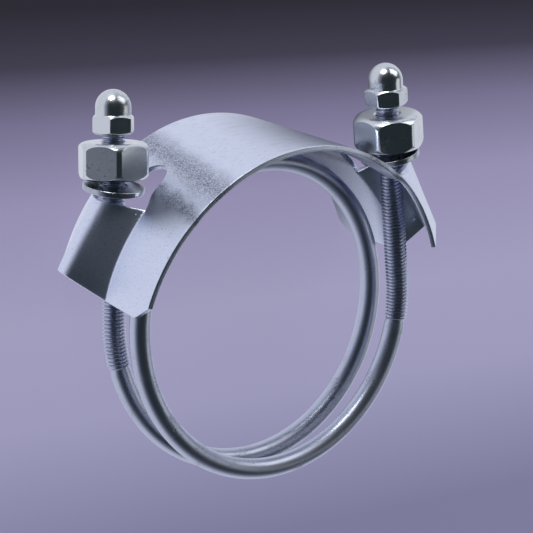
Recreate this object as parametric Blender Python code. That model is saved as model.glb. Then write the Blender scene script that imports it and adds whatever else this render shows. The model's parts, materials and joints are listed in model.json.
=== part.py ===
"""Spiral bolt hose clamp.

One rod is bent into two turns of a coil whose threaded ends stand up side by side.
A rolled bridge plate closes the ring at the top. Each threaded end comes out of a
tent that is pressed in the plate, and carries a washer, a clamp nut and a cap nut.

The clamp is modelled standing: X across the ring, Y along the hose, Z up along the
threaded ends, and the ring's centre at the origin. The rod's right half is its left
half turned half a turn about Z. The bridge plate sits a little askew on the ring, so
its two halves are made alike, each round its own threaded end. At the end one empty
lays the clamp on its back, as it comes to rest on a table.
"""

import math

import bmesh
import bpy
from mathutils import Matrix, Vector
from mathutils.bvhtree import BVHTree

MM = 0.001

# Rod and coil
RING_BORE = 100.0 * MM
ROD_DIAMETER = 7.2 * MM
COIL_PITCH = 15.0 * MM
LEG_LEAN = math.radians(5.0)
THREAD_DIAMETER = 8.0 * MM
THREAD_LENGTH = 92.0 * MM
ROD_END_CHAMFER = 1.0 * MM

# Bridge plate
SHEET = 2.0 * MM
PLATE_CLEARANCE = 2.3 * MM
PLATE_LIFT = 3.5 * MM
PLATE_SETBACK = 4.7 * MM
PLATE_TILT = math.radians(4.1)
PLATE_HALF_WIDTH = 29.4 * MM
NARROWING_FROM = math.radians(20.0)
NARROWING = 2.8 * MM
EDGE_FOOT_ANGLE = math.radians(-76.0)
CORNER_ANGLE = math.radians(-80.5)
CORNER_Y = -14.8 * MM

# Slot that the threaded end is put in through
SLOT_WIDTH = 12.0 * MM
SLOT_END_REACH = math.radians(60.0)
SLOT_TOP_ANGLE = math.radians(-31.8)
SLOT_FOOT_ANGLE = math.radians(-43.0)
SLOT_OFFSET = 4.2 * MM
SLOT_FOOT_FLARE = 8.0 * MM

# Tent pressed round the threaded end
TENT_CLEARANCE = 1.1 * MM
TENT_SEAT = 42.5 * MM
VALLEY_TOP_ANGLE = math.radians(-48.0)
VALLEY_TOP_OFFSET = 12.6 * MM
VALLEY_FOOT_ANGLE = math.radians(-79.3)
VALLEY_FOOT_OFFSET = 6.5 * MM
TENT_EDGE_TOP_ANGLE = math.radians(-46.0)
TENT_EDGE_FOOT_ANGLE = math.radians(-75.0)
RIDGE_FOOT_DISTANCE = 14.0 * MM
RIDGE_FOOT_SIDE = {"left": 5.5 * MM, "right": 0.5 * MM}
RIDGE_FOOT_HEIGHT = 17.5 * MM
RIDGE_FOOT_RADIUS = 5.0 * MM

# Washers
WASHER_DIAMETER = 20.8 * MM
WASHER_BORE = 9.6 * MM
WASHER_THICKNESS = 2.0 * MM
WASHER_TILT = {"left": math.radians(9.0), "right": math.radians(6.0)}
WASHER_LOW_SIDE = {"left": math.radians(-85.0), "right": math.radians(180.0)}

# Clamp nuts
NUT_FLATS = 22.0 * MM
NUT_HEIGHT = 12.6 * MM
NUT_EDGE_RADIUS = 2.0 * MM
NUT_CHAMFER = 2.2 * MM
NUT_TURN = {"left": math.radians(4.5), "right": math.radians(-28.6)}

# Cap nuts
CAP_STANDOFF = 2.5 * MM
CAP_FLATS = 13.0 * MM
CAP_HEX_HEIGHT = 6.5 * MM
CAP_HEIGHT = 15.0 * MM
CAP_DOME_DIAMETER = 12.0 * MM
CAP_CHAMFER = 0.8 * MM
CAP_ENGAGEMENT = 10.8 * MM
CAP_TURN = {"left": math.radians(-11.5), "right": math.radians(24.5)}

# Both kinds of nut are chamfered by cones of this slope
CHAMFER_SLOPE = math.radians(30.0)

# Gaps between pieces
THREAD_GAP = 0.35 * MM
SEAT_GAP = 0.3 * MM

# Fineness of the faceted surfaces, and the step in which a washer is lowered to its seat
COIL_STEP = math.radians(6.0)
ROUND_STEPS = 40
DOME_STEPS = 6
ROW_STEP = math.radians(5.0)
LOWERING_STEP = 0.05 * MM

# Columns of the plate's grid, front to back: plain, right slot, middle, then the left
# slot, whose columns make the tent's front flank and ridge, then the rear flank
COLUMNS = (3, 10, 4, 3, 7, 3)

ROD_RADIUS = ROD_DIAMETER / 2
COIL_RADIUS = RING_BORE / 2 + ROD_RADIUS
THREAD_RADIUS = THREAD_DIAMETER / 2
PLATE_RADIUS = COIL_RADIUS + ROD_RADIUS + PLATE_CLEARANCE + SHEET


def clear_scene():
    """Remove every object that the file was opened with."""
    for thing in list(bpy.data.objects):
        bpy.data.objects.remove(thing)


def half_turn(point):
    """Take a point of the left side to the right side."""
    return Vector((-point.x, -point.y, point.z))


def steps(first, last, count):
    """Count evenly spaced values from first to just before last."""
    return [first + (last - first) * step / count for step in range(count)]


def plated_steel(name, colour, roughness):
    """Bright zinc plating, as a Principled material."""
    material = bpy.data.materials.new(name)
    material.use_nodes = True
    shader = material.node_tree.nodes["Principled BSDF"]
    shader.inputs["Base Color"].default_value = (*colour, 1.0)
    shader.inputs["Metallic"].default_value = 1.0
    shader.inputs["Roughness"].default_value = roughness
    return material


def add_object(name, data, material):
    """Put a mesh or a curve in the scene under its sub-part's name."""
    thing = bpy.data.objects.new(name, data)
    bpy.context.collection.objects.link(thing)
    thing.data.materials.append(material)
    return thing


# The rod's centreline: a coil, and a straight leg tangent to it at each end

def coil_point(angle):
    """Point of the coil's centreline. The angle is 0 at the crown and falls to the left."""
    along = COIL_PITCH * (angle + 2 * math.pi) / (2 * math.pi)
    return Vector((COIL_RADIUS * math.sin(angle), along, COIL_RADIUS * math.cos(angle)))


def left_leg():
    """Foot of the left leg on the coil, and the leg's direction."""
    angle = -(math.pi / 2 - LEG_LEAN)
    lead = COIL_PITCH / (2 * math.pi)
    direction = Vector((COIL_RADIUS * math.cos(angle), lead, -COIL_RADIUS * math.sin(angle)))
    return coil_point(angle), direction.normalized()


def along_leg(distance):
    """Point of the left leg's axis, at a distance from the leg's foot."""
    foot, direction = left_leg()
    return foot + direction * distance


def rod_path(leg_length):
    """Points of the whole centreline with the rod's radius at each, from end to end."""
    first = -(math.pi / 2 - LEG_LEAN)
    last = -4 * math.pi - first
    turns = math.ceil((first - last) / COIL_STEP)
    coil = [coil_point(first + (last - first) * step / turns) for step in range(turns + 1)]
    step_length = (coil[1] - coil[0]).length
    leg = [along_leg(leg_length), along_leg(leg_length - ROD_END_CHAMFER), along_leg(leg_length / 2)]
    radii = [THREAD_RADIUS - ROD_END_CHAMFER, THREAD_RADIUS, THREAD_RADIUS]
    plain_after = (THREAD_LENGTH - leg_length) / step_length
    for place in range(len(coil)):
        threaded = min(place, len(coil) - 1 - place) < plain_after
        radii.append(THREAD_RADIUS if threaded else ROD_RADIUS)
    right = [half_turn(point) for point in reversed(leg)]
    radii += list(reversed(radii[:3]))
    return leg + coil + right, radii


def spiral_bolt(leg_length, material):
    """One rod bent into the coil, with a threaded leg at each end."""
    points, radii = rod_path(leg_length)
    curve = bpy.data.curves.new("spiral_bolt", "CURVE")
    curve.dimensions = "3D"
    curve.bevel_depth = ROD_RADIUS
    curve.bevel_resolution = 5
    curve.use_fill_caps = True
    spline = curve.splines.new("POLY")
    spline.points.add(len(points) - 1)
    for knot, point, radius in zip(spline.points, points, radii):
        knot.co = (*point, 1.0)
        knot.radius = radius / ROD_RADIUS
    return add_object("spiral_bolt", curve, material)


# The bridge plate: rows of points along its outer surface, from the left foot to the right

def plate_place():
    """The plate sits loose on the ring: lifted, set back and with its back edge tilted up."""
    return Matrix.Translation((0, PLATE_SETBACK, PLATE_LIFT)) @ Matrix.Rotation(PLATE_TILT, 4, "X")


def leg_in_plate(side):
    """A leg's foot and direction in the plate's own frame, the right one half turned to the left."""
    to_plate = plate_place().inverted()
    foot, direction = left_leg()
    if side == "right":
        foot = half_turn(foot)
        direction = half_turn(direction)
    foot = to_plate @ foot
    direction = to_plate.to_3x3() @ direction
    return (half_turn(foot), half_turn(direction)) if side == "right" else (foot, direction)


def on_plate(angle, along):
    """Point of the plate's outer surface, in the plate's own frame. The angle is 0 at the crown."""
    return Vector((PLATE_RADIUS * math.sin(angle), along, PLATE_RADIUS * math.cos(angle)))


def front_edge(angle):
    """The front edge's place along the hose. The plate narrows towards its left foot."""
    return -PLATE_HALF_WIDTH + NARROWING * max(NARROWING_FROM - angle, 0) ** 2


def back_edge(angle):
    """The back edge is the front edge's half turn."""
    return -front_edge(-angle)


def leg_at_height(leg, height):
    """Where a leg's axis passes a height in the plate's own frame."""
    foot, direction = leg
    return foot + direction * ((height - foot.z) / direction.z)


def leg_y(leg, angle):
    """Where a leg stands along the hose, at the height of a point of the plate."""
    return leg_at_height(leg, on_plate(angle, 0).z).y


def row_on_plate(breaks, angles):
    """A row of points between breaks across the plate, each break with its own angle."""
    row = []
    groups = (COLUMNS[0], COLUMNS[1], COLUMNS[2], COLUMNS[3] + COLUMNS[4], COLUMNS[5])
    for group, count in enumerate(groups):
        ys = steps(breaks[group], breaks[group + 1], count)
        turns = steps(angles[group], angles[group + 1], count)
        row += [on_plate(turn, y) for turn, y in zip(turns, ys)]
    row.append(on_plate(angles[-1], breaks[-1]))
    return row


def slot_middle(leg):
    """The slot's centreline, placed from the leg that is put in through it."""
    return leg_y(leg, SLOT_FOOT_ANGLE) - SLOT_OFFSET


def plain_row(leg, angle, slot_half, flare=0.0):
    """A row across the crown or beside the slot, with columns that meet the slot's sides."""
    middle = slot_middle(leg)
    breaks = (front_edge(angle), -middle - slot_half, -middle + slot_half,
              middle - slot_half, middle + slot_half + flare, back_edge(angle))
    return row_on_plate(breaks, (angle,) * 6)


def slot_end_row(leg):
    """The row that the slot's round top end cuts: its slot columns follow the arc."""
    radius = SLOT_WIDTH / 2
    angle = SLOT_TOP_ANGLE - radius * (1 - math.cos(SLOT_END_REACH)) / PLATE_RADIUS
    row = plain_row(leg, angle, radius * math.sin(SLOT_END_REACH))
    first = COLUMNS[0] + COLUMNS[1] + COLUMNS[2]
    count = COLUMNS[3] + COLUMNS[4]
    middle = slot_middle(leg)
    for column in range(count + 1):
        place = SLOT_END_REACH * (2 * column / count - 1)
        turn = SLOT_TOP_ANGLE - radius * (1 - math.cos(place)) / PLATE_RADIUS
        row[first + column] = on_plate(turn, middle + radius * math.sin(place))
    return row, angle


def ridge_points(valley, centre, edge, radius):
    """Front flank, rounded ridge and rear flank of the tent, from its valley to the plate's edge."""
    to_valley = valley - centre
    to_edge = edge - centre
    axis = to_valley.cross(to_edge).normalized()
    along = to_valley.normalized()
    across = axis.cross(along)
    edge_angle = math.atan2(to_edge.dot(across), to_edge.dot(along))
    first = -math.acos(radius / to_valley.length)
    last = edge_angle + math.acos(radius / to_edge.length) - 2 * math.pi

    def round_the_ridge(angle):
        return centre + (along * math.cos(angle) + across * math.sin(angle)) * radius

    front, arc, rear = COLUMNS[3], COLUMNS[4], COLUMNS[5]
    start = round_the_ridge(first)
    end = round_the_ridge(last)
    points = [valley.lerp(start, step / front) for step in range(front)]
    points += [round_the_ridge(first + (last - first) * step / arc) for step in range(arc)]
    points += [end.lerp(edge, step / rear) for step in range(rear + 1)]
    return points


def tent_row(leg, foot_side, share):
    """A row through the plate's front part and the tent. The share is 0 at the seat, 1 at the foot."""
    def between(top, foot):
        return top + (foot - top) * share

    front_angle = between(VALLEY_TOP_ANGLE, EDGE_FOOT_ANGLE)
    valley_angle = between(VALLEY_TOP_ANGLE, VALLEY_FOOT_ANGLE)
    valley_y = between(leg_y(leg, VALLEY_TOP_ANGLE) - VALLEY_TOP_OFFSET,
                       leg_y(leg, VALLEY_FOOT_ANGLE) - VALLEY_FOOT_OFFSET)
    edge_angle = between(TENT_EDGE_TOP_ANGLE, TENT_EDGE_FOOT_ANGLE)
    ridge_top = leg[0] + leg[1] * TENT_SEAT
    ridge_foot = leg_at_height(leg, RIDGE_FOOT_HEIGHT) + Vector((-RIDGE_FOOT_DISTANCE, foot_side, 0))
    top_radius = THREAD_RADIUS + TENT_CLEARANCE + SHEET
    centre = between(ridge_top, ridge_foot)
    radius = between(top_radius, RIDGE_FOOT_RADIUS)

    count = COLUMNS[0] + COLUMNS[1] + COLUMNS[2]
    start_y = front_edge(front_angle)
    if share == 1:
        row = [on_plate(front_angle, start_y)]
        ys = steps(CORNER_Y, valley_y, count - 1)
        turns = steps(CORNER_ANGLE, valley_angle, count - 1)
    else:
        row = []
        ys = steps(start_y, valley_y, count)
        turns = steps(front_angle, valley_angle, count)
    row += [on_plate(turn, y) for turn, y in zip(turns, ys)]
    return row + ridge_points(on_plate(valley_angle, valley_y), centre,
                              on_plate(edge_angle, back_edge(edge_angle)), radius)


def plate_rows(side):
    """All rows of a half from the foot to the crown, as a left half, and which of them the slot cuts."""
    leg = leg_in_plate(side)
    tent_count = math.ceil((SLOT_FOOT_ANGLE - VALLEY_FOOT_ANGLE) / ROW_STEP)
    rows = [tent_row(leg, RIDGE_FOOT_SIDE[side], step / tent_count) for step in range(tent_count, -1, -1)]
    first_cut = len(rows) - 1
    end_row, end_angle = slot_end_row(leg)
    full_angle = SLOT_TOP_ANGLE - SLOT_WIDTH / 2 / PLATE_RADIUS
    slot_count = math.ceil((full_angle - SLOT_FOOT_ANGLE) / ROW_STEP)
    for step in range(slot_count + 1):
        angle = SLOT_FOOT_ANGLE + (full_angle - SLOT_FOOT_ANGLE) * step / slot_count
        flare = SLOT_FOOT_FLARE * (1 - step / slot_count)
        rows.append(plain_row(leg, angle, SLOT_WIDTH / 2, flare))
    rows.append(end_row)
    last_cut = len(rows) - 1
    crown_count = math.ceil(-end_angle / ROW_STEP)
    for step in range(1, crown_count + 1):
        rows.append(plain_row(leg, end_angle * (1 - step / crown_count), SLOT_WIDTH / 2))
    return rows, first_cut, last_cut


def saddle(material):
    """The bridge plate: one sheet, rolled, slotted and pressed into two tents."""
    left, first_cut, last_cut = plate_rows("left")
    right = [[half_turn(point) for point in reversed(row)] for row in reversed(plate_rows("right")[0][:-1])]
    rows = left + right
    width = len(left[0])
    slot_first = COLUMNS[0] + COLUMNS[1] + COLUMNS[2]
    slot_last = slot_first + COLUMNS[3] + COLUMNS[4]

    def in_left_slot(row, column):
        return first_cut <= row < last_cut and slot_first <= column < slot_last

    bm = bmesh.new()
    grid = [[bm.verts.new(point) for point in row] for row in rows]
    for row in range(len(rows) - 1):
        for column in range(width - 1):
            turned = (len(rows) - 2 - row, width - 2 - column)
            if in_left_slot(row, column) or in_left_slot(*turned):
                continue
            bm.faces.new((grid[row][column], grid[row + 1][column],
                          grid[row + 1][column + 1], grid[row][column + 1]))
    loose = [vert for vert in bm.verts if not vert.link_faces]
    bmesh.ops.delete(bm, geom=loose, context="VERTS")
    mesh = bpy.data.meshes.new("saddle")
    bm.to_mesh(mesh)
    bm.free()
    mesh.shade_smooth()
    plate = add_object("saddle", mesh, material)
    plate.matrix_world = plate_place()
    thicken = plate.modifiers.new("sheet", "SOLIDIFY")
    thicken.thickness = SHEET
    thicken.offset = -1.0
    thicken.use_even_offset = True
    thicken.use_quality_normals = True
    return plate


# Turned and hexagonal pieces

def turned(name, profile):
    """A closed ring of (radius, height) points turned round the Z axis."""
    bm = bmesh.new()
    ring = [bm.verts.new((radius, 0, height)) for radius, height in profile]
    edges = [bm.edges.new((ring[place - 1], ring[place])) for place in range(len(ring))]
    bmesh.ops.spin(bm, geom=ring + edges, axis=(0, 0, 1), cent=(0, 0, 0),
                   angle=2 * math.pi, steps=ROUND_STEPS, use_merge=True)
    bmesh.ops.remove_doubles(bm, verts=bm.verts, dist=0.001 * MM)
    bmesh.ops.recalc_face_normals(bm, faces=bm.faces)
    mesh = bpy.data.meshes.new(name)
    bm.to_mesh(mesh)
    bm.free()
    return mesh


def hexagon_bar(name, flats, edge_radius, low, high):
    """A hexagonal bar with rounded long edges, used to cut a turned blank to its flats."""
    corner = (flats / 2 - edge_radius) / math.cos(math.pi / 6)
    outline = []
    for side in range(6):
        middle = side * math.pi / 3
        for part in (-1, -1 / 3, 1 / 3, 1):
            angle = middle + part * math.pi / 6
            outline.append(Vector((corner * math.cos(middle) + edge_radius * math.cos(angle),
                                   corner * math.sin(middle) + edge_radius * math.sin(angle))))
    bm = bmesh.new()
    base = bm.faces.new([bm.verts.new((point.x, point.y, low)) for point in outline])
    top = bmesh.ops.extrude_face_region(bm, geom=[base])["geom"]
    lifted = [item for item in top if isinstance(item, bmesh.types.BMVert)]
    bmesh.ops.translate(bm, verts=lifted, vec=(0, 0, high - low))
    bmesh.ops.recalc_face_normals(bm, faces=bm.faces)
    mesh = bpy.data.meshes.new(name)
    bm.to_mesh(mesh)
    bm.free()
    return mesh


def cut_to_flats(blank, flats, edge_radius, low, high):
    """Cut a turned blank to a hexagon with a live Boolean."""
    bar = bpy.data.objects.new(blank.name + "_bar",
                               hexagon_bar(blank.name + "_bar", flats, edge_radius, low, high))
    bpy.context.collection.objects.link(bar)
    bar.parent = blank
    bar.hide_render = True
    bar.display_type = "WIRE"
    cut = blank.modifiers.new("flats", "BOOLEAN")
    cut.operation = "INTERSECT"
    cut.solver = "EXACT"
    cut.object = bar


def clamp_nut_profile():
    """Section of a clamp nut: bore, end faces and the cones that chamfer both ends."""
    corner = NUT_FLATS / 2 / math.cos(math.pi / 6)
    bore = THREAD_RADIUS + THREAD_GAP
    face = NUT_FLATS / 2 - NUT_CHAMFER
    cone = (corner - face) * math.tan(CHAMFER_SLOPE)
    return [(bore, 0), (face, 0), (corner, cone),
            (corner, NUT_HEIGHT - cone), (face, NUT_HEIGHT), (bore, NUT_HEIGHT)]


def cap_nut_profile():
    """Section of a cap nut: blind bore, chamfered hexagon and domed cap."""
    bore = THREAD_RADIUS + THREAD_GAP
    corner = CAP_FLATS / 2 / math.cos(math.pi / 6)
    dome = CAP_DOME_DIAMETER / 2
    wall_top = CAP_HEIGHT - dome
    face = CAP_FLATS / 2 - CAP_CHAMFER
    cone = (corner - face) * math.tan(CHAMFER_SLOPE)
    depth = CAP_ENGAGEMENT + SEAT_GAP
    profile = [(0, depth), (bore - ROD_END_CHAMFER, depth), (bore, depth - ROD_END_CHAMFER), (bore, 0),
               (face, 0), (corner, cone), (corner, CAP_HEX_HEIGHT - cone), (dome, CAP_HEX_HEIGHT),
               (dome, wall_top)]
    for step in range(1, DOME_STEPS):
        angle = step / DOME_STEPS * math.pi / 2
        profile.append((dome * math.cos(angle), wall_top + dome * math.sin(angle)))
    return profile + [(0, CAP_HEIGHT)]


def leg_frame(side, distance, turn):
    """Place on a leg's axis, with Z along the leg, at a distance from its foot."""
    direction = left_leg()[1]
    place = along_leg(distance)
    if side == "right":
        direction = half_turn(direction)
        place = half_turn(place)
    facing = Vector((0, 0, 1)).rotation_difference(direction).to_matrix().to_4x4()
    return Matrix.Translation(place) @ facing @ Matrix.Rotation(turn, 4, "Z")


def washer_frame(side, distance):
    """Place of a washer's middle on its leg, tipped towards its low side."""
    low = WASHER_LOW_SIDE[side]
    tilt_axis = Vector((-math.sin(low), math.cos(low), 0))
    return leg_frame(side, distance, 0) @ Matrix.Rotation(WASHER_TILT[side], 4, tilt_axis)


def surface_tree(mesh, place):
    """The faces of a mesh at a place, for finding what they meet."""
    return BVHTree.FromPolygons([place @ vert.co for vert in mesh.vertices],
                                [face.vertices[:] for face in mesh.polygons])


def washer_height(side, mesh, plate):
    """Lower a washer along its leg until it meets the plate, and give the distance just above."""
    shape = plate.evaluated_get(bpy.context.evaluated_depsgraph_get())
    plate_tree = surface_tree(shape.to_mesh(), plate.matrix_world)
    distance = PLATE_RADIUS + WASHER_DIAMETER
    while not surface_tree(mesh, washer_frame(side, distance)).overlap(plate_tree):
        distance -= LOWERING_STEP
    shape.to_mesh_clear()
    return distance + LOWERING_STEP + SEAT_GAP


def washer(side, plate, material):
    """A plain washer, lying askew on the top of its tent."""
    inner = WASHER_BORE / 2
    outer = WASHER_DIAMETER / 2
    half = WASHER_THICKNESS / 2
    mesh = turned("washer_" + side, [(inner, -half), (outer, -half), (outer, half), (inner, half)])
    disc = add_object("washer_" + side, mesh, material)
    height = washer_height(side, mesh, plate)
    disc.matrix_world = washer_frame(side, height)
    return disc, height


def clamp_nut(side, washer_middle, material):
    """The large hexagonal nut that draws the rod's end up, and the height of its top on the leg.

    It meets the washer's high side.
    """
    name = "clamp_nut_" + side
    nut = add_object(name, turned(name, clamp_nut_profile()), material)
    tilt = WASHER_TILT[side]
    rise = WASHER_THICKNESS / 2 * math.cos(tilt) + WASHER_DIAMETER / 2 * math.sin(tilt)
    seat = washer_middle + rise + SEAT_GAP
    nut.matrix_world = leg_frame(side, seat, NUT_TURN[side])
    cut_to_flats(nut, NUT_FLATS, NUT_EDGE_RADIUS, -MM, NUT_HEIGHT + MM)
    return nut, seat + NUT_HEIGHT


def cap_nut(side, leg_length, material):
    """The domed nut that covers the rod's end."""
    name = "cap_nut_" + side
    nut = add_object(name, turned(name, cap_nut_profile()), material)
    nut.matrix_world = leg_frame(side, leg_length - CAP_ENGAGEMENT, CAP_TURN[side])
    cut_to_flats(nut, CAP_FLATS, CAP_CHAMFER / 4, -MM, CAP_HEIGHT + MM)
    return nut


# Lying down: the clamp comes to rest on the hull face under its centre of mass

def evaluated_triangles(pieces):
    """Corner points of every triangle of the finished pieces, in the standing frame."""
    depsgraph = bpy.context.evaluated_depsgraph_get()
    triangles = []
    for piece in pieces:
        shape = piece.evaluated_get(depsgraph)
        mesh = shape.to_mesh()
        mesh.calc_loop_triangles()
        points = [piece.matrix_world @ vert.co for vert in mesh.vertices]
        triangles += [[points[place] for place in face.vertices] for face in mesh.loop_triangles]
        shape.to_mesh_clear()
    return triangles


def centre_of_mass(triangles):
    """Centre of the solids that the triangles close."""
    volume = 0.0
    moment = Vector((0, 0, 0))
    for a, b, c in triangles:
        part = a.dot(b.cross(c)) / 6
        volume += part
        moment += (a + b + c) * (part / 4)
    return moment / volume


def resting_normal(triangles):
    """Normal of the hull face, on the clamp's back, that carries the centre of mass."""
    centre = centre_of_mass(triangles)
    bm = bmesh.new()
    for triangle in triangles:
        for point in triangle:
            bm.verts.new(point)
    bmesh.ops.remove_doubles(bm, verts=bm.verts, dist=0.01 * MM)
    hull = bmesh.ops.convex_hull(bm, input=bm.verts)["geom"]
    best = None
    for face in [item for item in hull if isinstance(item, bmesh.types.BMFace)]:
        corners = [vert.co for vert in face.verts]
        normal = (corners[1] - corners[0]).cross(corners[2] - corners[0]).normalized()
        if normal.dot(corners[0] - centre) < 0:
            normal = -normal
            corners.reverse()
        inside = all((end - start).cross(centre - start).dot(normal) > 0
                     for start, end in zip(corners, corners[1:] + corners[:1]))
        if inside and (best is None or normal.y > best.y):
            best = normal.copy()
    bm.free()
    return best


def lay_down(frame, triangles):
    """Turn the empty so that the clamp lies on its back, centred over the origin."""
    on_back = Matrix.Rotation(-math.pi / 2, 4, "X")
    normal = on_back.to_3x3() @ resting_normal(triangles)
    settle = normal.rotation_difference(Vector((0, 0, -1))).to_matrix().to_4x4()
    turn = settle @ on_back
    points = [turn @ point for triangle in triangles for point in triangle]
    low = Vector([min(point[axis] for point in points) for axis in range(3)])
    high = Vector([max(point[axis] for point in points) for axis in range(3)])
    shift = Vector((-(low.x + high.x) / 2, -(low.y + high.y) / 2, -low.z))
    frame.matrix_world = Matrix.Translation(shift) @ turn


def main():
    clear_scene()
    rod_steel = plated_steel("plated_rod", (0.62, 0.66, 0.72), 0.26)
    sheet_steel = plated_steel("plated_sheet", (0.68, 0.73, 0.82), 0.32)
    washer_steel = plated_steel("plated_washer", (0.60, 0.62, 0.66), 0.25)
    nut_steel = plated_steel("plated_nut", (0.70, 0.73, 0.78), 0.18)
    plate = saddle(sheet_steel)
    pieces = [plate]
    nut_tops = []
    for side in ("left", "right"):
        disc, middle = washer(side, plate, washer_steel)
        nut, nut_top = clamp_nut(side, middle, nut_steel)
        pieces += [disc, nut]
        nut_tops.append(nut_top)
    leg_length = max(nut_tops) + CAP_STANDOFF + CAP_ENGAGEMENT
    pieces.append(spiral_bolt(leg_length, rod_steel))
    pieces += [cap_nut(side, leg_length, nut_steel) for side in ("left", "right")]
    frame = bpy.data.objects.new("clamp_frame", None)
    bpy.context.collection.objects.link(frame)
    bpy.context.view_layer.update()
    triangles = evaluated_triangles(pieces)
    for piece in pieces:
        piece.parent = frame
    lay_down(frame, triangles)


main()
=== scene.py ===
# %% [markdown]
# # A spiral bolt hose clamp, dressed for the camera
#
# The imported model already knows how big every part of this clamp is, where it sits and
# how it moves. This lesson gives the parts their looks: a real thread, rounded edges and
# bright zinc plating. We begin with an empty scene and load that model, which stays
# fixed as our frame.

# %% Load the fixed frame
import json
import math

import bpy
from mathutils import Matrix, Vector

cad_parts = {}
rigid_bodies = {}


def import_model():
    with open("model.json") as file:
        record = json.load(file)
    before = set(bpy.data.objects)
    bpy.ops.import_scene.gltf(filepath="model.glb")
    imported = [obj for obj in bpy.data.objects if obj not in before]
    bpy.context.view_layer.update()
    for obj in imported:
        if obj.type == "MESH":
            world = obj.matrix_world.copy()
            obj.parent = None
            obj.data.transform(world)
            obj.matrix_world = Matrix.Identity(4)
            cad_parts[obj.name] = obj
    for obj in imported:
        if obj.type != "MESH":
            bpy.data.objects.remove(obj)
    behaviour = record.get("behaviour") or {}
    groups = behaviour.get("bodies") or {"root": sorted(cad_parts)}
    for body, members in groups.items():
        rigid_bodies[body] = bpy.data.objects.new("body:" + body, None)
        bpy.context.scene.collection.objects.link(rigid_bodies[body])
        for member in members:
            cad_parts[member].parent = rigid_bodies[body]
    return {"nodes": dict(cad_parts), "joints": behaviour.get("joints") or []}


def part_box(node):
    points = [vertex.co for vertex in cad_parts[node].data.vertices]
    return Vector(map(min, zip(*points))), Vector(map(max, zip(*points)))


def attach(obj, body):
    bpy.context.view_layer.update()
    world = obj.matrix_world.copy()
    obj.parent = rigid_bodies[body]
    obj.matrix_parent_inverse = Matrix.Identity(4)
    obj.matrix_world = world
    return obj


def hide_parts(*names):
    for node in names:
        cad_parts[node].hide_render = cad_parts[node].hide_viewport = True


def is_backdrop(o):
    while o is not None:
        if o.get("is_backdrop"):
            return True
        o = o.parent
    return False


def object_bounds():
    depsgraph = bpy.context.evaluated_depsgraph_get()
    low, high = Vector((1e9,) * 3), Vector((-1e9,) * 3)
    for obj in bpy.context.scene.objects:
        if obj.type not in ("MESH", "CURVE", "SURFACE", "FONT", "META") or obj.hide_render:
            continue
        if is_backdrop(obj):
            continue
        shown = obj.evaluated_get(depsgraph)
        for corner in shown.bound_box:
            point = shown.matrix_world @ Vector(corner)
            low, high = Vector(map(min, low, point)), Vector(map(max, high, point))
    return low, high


MM = 0.001
for thing in list(bpy.data.objects):
    bpy.data.objects.remove(thing)
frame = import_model()
cad_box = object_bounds()
packed_size = [round(value / MM, 1) for value in cad_box[1] - cad_box[0]]
print("the packed clamp measures", packed_size, "mm")

# %% [markdown]
# ## Two ways to hold the clamp
#
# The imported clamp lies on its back, because a ring can't stand on its round bottom. Its
# parts are far easier to work out standing, with X across the ring, Y along the hose and
# Z up along the bolts. The joints tell us where those directions went: the bolt travels
# along the standing Z, and the two clamp nuts turn about the leaning legs.

# %% Sizes of the real clamp
RING_BORE = 100.0 * MM
ROD_DIAMETER = 7.2 * MM
COIL_PITCH = 15.0 * MM
LEG_LEAN = math.radians(5.0)
THREAD_DIAMETER = 8.0 * MM
THREAD_LENGTH = 92.0 * MM
THREAD_PITCH = 1.25 * MM
ROD_RADIUS = ROD_DIAMETER / 2
THREAD_RADIUS = THREAD_DIAMETER / 2
COIL_RADIUS = RING_BORE / 2 + ROD_RADIUS
print("the rod's centreline has a radius of", round(COIL_RADIUS / MM, 1), "mm")

# %% Find the standing clamp's directions from the joints
joints = {joint["name"]: joint for joint in frame["joints"]}


def joint_axis(name):
    """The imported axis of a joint, as a unit vector."""
    return Vector(joints[name]["axis"]).normalized()


up = joint_axis("bolt_travel")
apart = (joint_axis("clamp_nut_left_turn") - joint_axis("clamp_nut_right_turn")).normalized()
lead_turn = math.atan2(COIL_PITCH / (2 * math.pi), COIL_RADIUS * math.sin(LEG_LEAN))
across = Matrix.Rotation(-lead_turn, 3, up) @ apart
along_hose = up.cross(across)
to_standing = Matrix((across, along_hose, up))
bolt_points = [to_standing @ vert.co for vert in frame["nodes"]["spiral_bolt"].data.vertices]
bolt_low = Vector([min(point[axis] for point in bolt_points) for axis in range(3)])
bolt_high = Vector([max(point[axis] for point in bolt_points) for axis in range(3)])
ring_centre = (bolt_low + bolt_high) / 2
ring_centre.z = bolt_low.z + COIL_RADIUS + ROD_RADIUS
from_standing = to_standing.transposed().to_4x4() @ Matrix.Translation(ring_centre)
print("the ring's centre is at", [round(value / MM, 2) for value in from_standing.translation])

# %% [markdown]
# ## The camera
#
# The photograph was taken from the left and a little above, with a long lens and a
# slight roll. We set the camera in the standing clamp's own directions and then turn it
# down with the clamp, so it looks at the same sides although the clamp lies on its back.

# %% Put the camera where the photographer stood
IMAGE_SIDE = 533
SENSOR = 36.0
CAMERA_DISTANCE = 780 * MM
CAMERA_LEFT = math.radians(37.9)
CAMERA_ABOVE = math.radians(14.3)
CAMERA_ROLL = math.radians(-2.0)
PIXELS_PER_METRE = 2880.0
RING_CENTRE_PIXEL = Vector((260.2, 313.5))

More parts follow.
